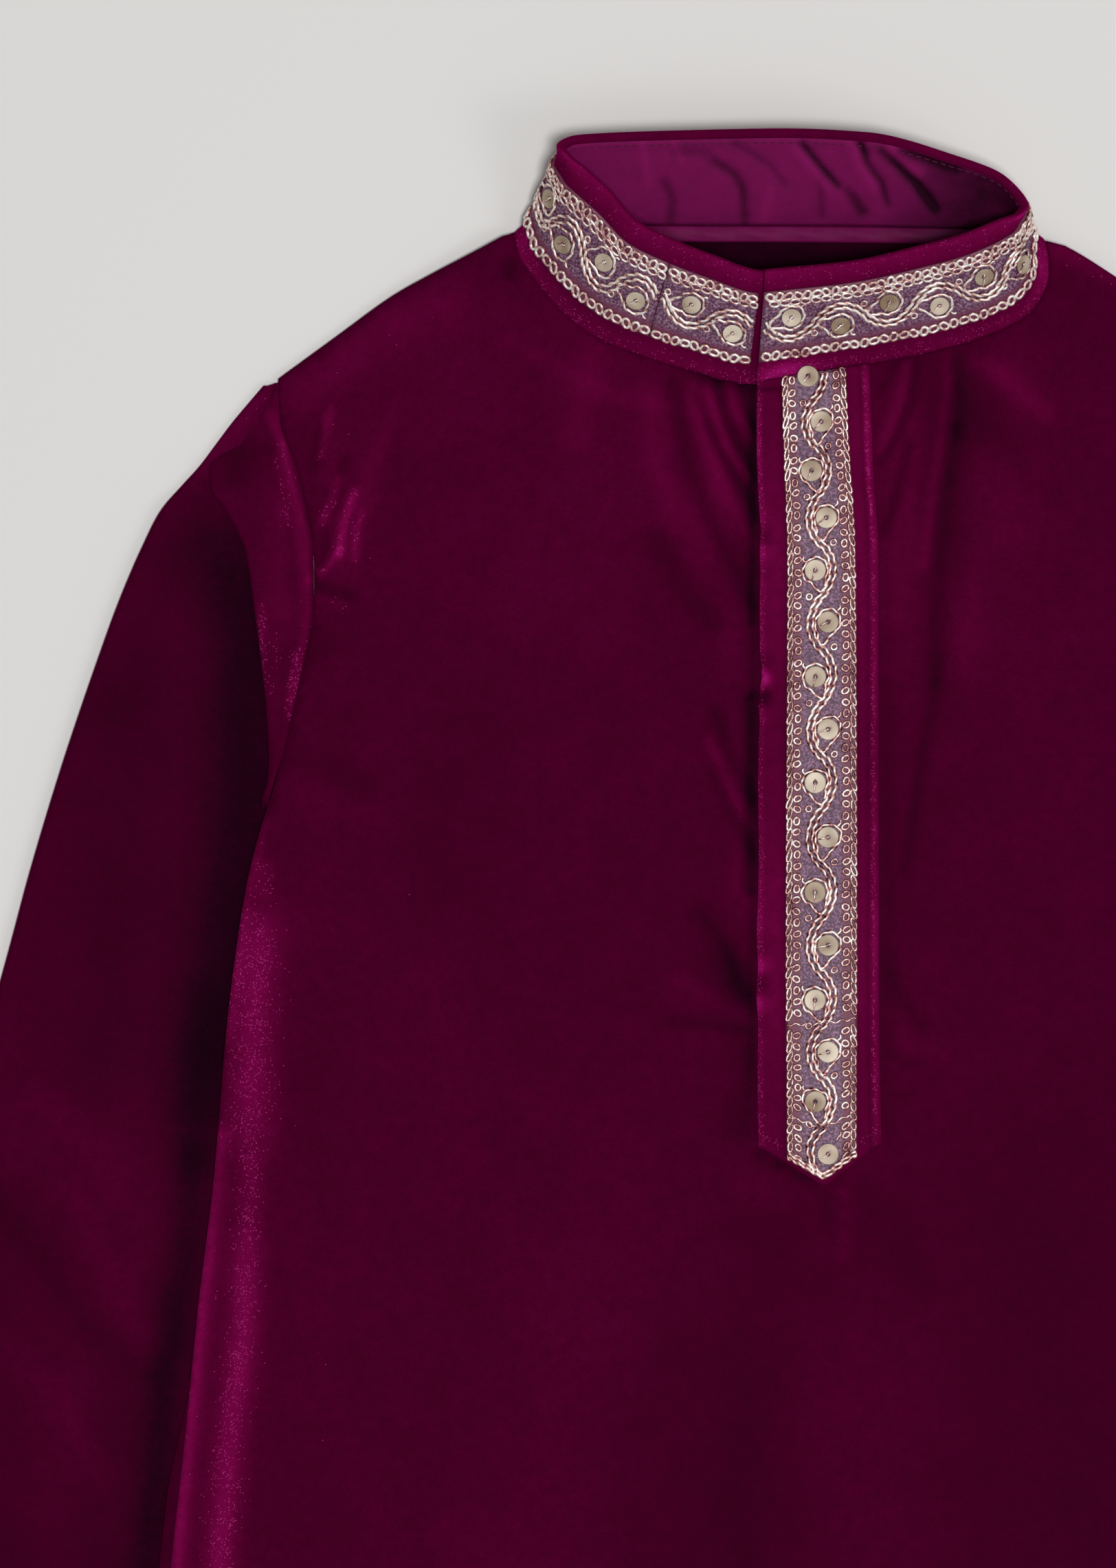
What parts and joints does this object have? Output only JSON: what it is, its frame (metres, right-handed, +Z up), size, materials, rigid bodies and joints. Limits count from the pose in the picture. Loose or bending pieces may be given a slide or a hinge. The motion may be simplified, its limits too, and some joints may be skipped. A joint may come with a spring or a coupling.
{
  "type": "kurta",
  "caption": "Boy's knee-length velvet kurta laid flat, with a lined stand collar, a bordered front placket and tucked sleeves.",
  "frame": {"origin": "middle of the garment's outline, on the surface that it lies on", "axes": "+Y from the hem towards the collar, +X towards the viewer's right as the front is seen from above, +Z up from the surface"},
  "size_m": [0.5924, 0.674, 0.029],
  "materials": {
    "velvet": "deep wine velvet, short nap with a soft sheen",
    "lining_satin": "magenta wine satin, semi-gloss",
    "border_tissue": "rose-gold metallic cord work on dusty mauve tissue"
  },
  "bodies": {
    "root": {"front_panel": "velvet", "back_panel": "velvet", "sleeve_left": "velvet", "sleeve_right": "velvet", "collar_outer": "velvet", "collar_lining": "lining_satin", "neck_band": "lining_satin", "placket_over": "velvet", "placket_under": "velvet", "trim_placket": "border_tissue", "trim_collar_front": "border_tissue", "trim_collar_round": "border_tissue"}
  },
  "joints": []
}
